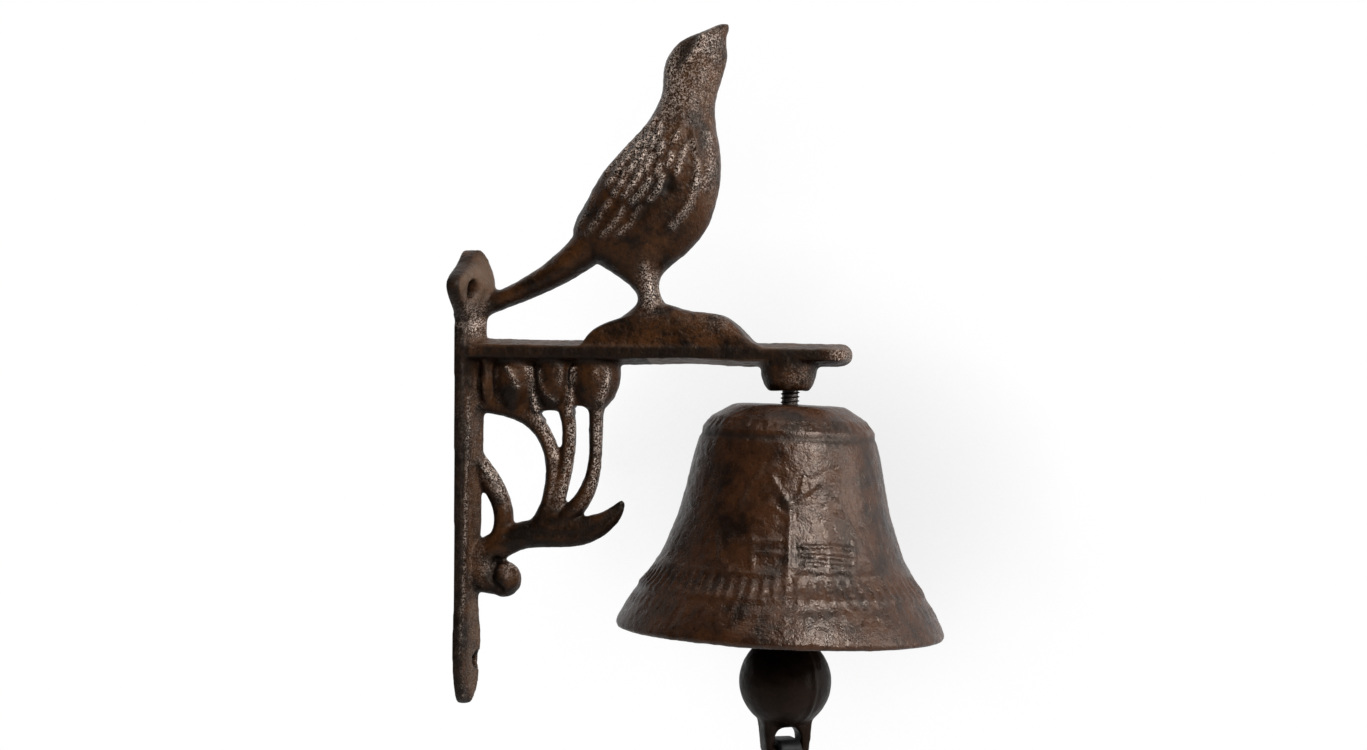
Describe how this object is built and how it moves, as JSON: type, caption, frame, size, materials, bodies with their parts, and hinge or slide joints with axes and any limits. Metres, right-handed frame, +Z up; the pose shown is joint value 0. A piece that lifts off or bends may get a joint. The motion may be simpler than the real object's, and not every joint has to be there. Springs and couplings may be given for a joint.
{
  "type": "cast iron wall bell",
  "caption": "Wall-mounted cast iron bell: a bird on a scrolled bracket, a hanging bell and a clapper with a leather pull strap.",
  "frame": {"origin": "on the wall plate's flat back face, on the centre plane, at the height of the arm", "axes": "+X out from the wall along the arm, +Z up, +Y to the right of someone who faces the wall"},
  "size_m": [0.1498, 0.0996, 0.3438],
  "materials": {
    "bracket_iron": "brown lacquer over rough casting, worn grey on the edges",
    "bell_iron": "brown lacquer, worn grey where it is rubbed",
    "clapper_iron": "brown lacquer, satin",
    "fixing_steel": "dull darkened steel",
    "strap_leather": "black, matt"
  },
  "bodies": {
    "frame": {"bracket": "bracket_iron", "eyebolt": "fixing_steel", "bell_washer": "fixing_steel", "bell_nut": "fixing_steel"},
    "bell": {"bell": "bell_iron"},
    "link": {"clapper_link": "fixing_steel"},
    "clapper": {"clapper": "clapper_iron", "pull_strap": "strap_leather"}
  },
  "joints": [
    {"name": "bell_turn", "type": "hinge", "parent": "frame", "child": "bell", "pos_m": [0.1027, 0, -0.0116], "axis": [0.0366, 0, 0.9993], "continuous": true},
    {"name": "link_swing", "type": "hinge", "parent": "frame", "child": "link", "pos_m": [0.10182, 0, -0.0417], "axis": [1, 0, 0], "range_deg": [-24, 24]},
    {"name": "clapper_swing", "type": "hinge", "parent": "link", "child": "clapper", "pos_m": [0.10182, 0, -0.0519], "axis": [0, 1, 0], "range_deg": [-28, 28]}
  ]
}
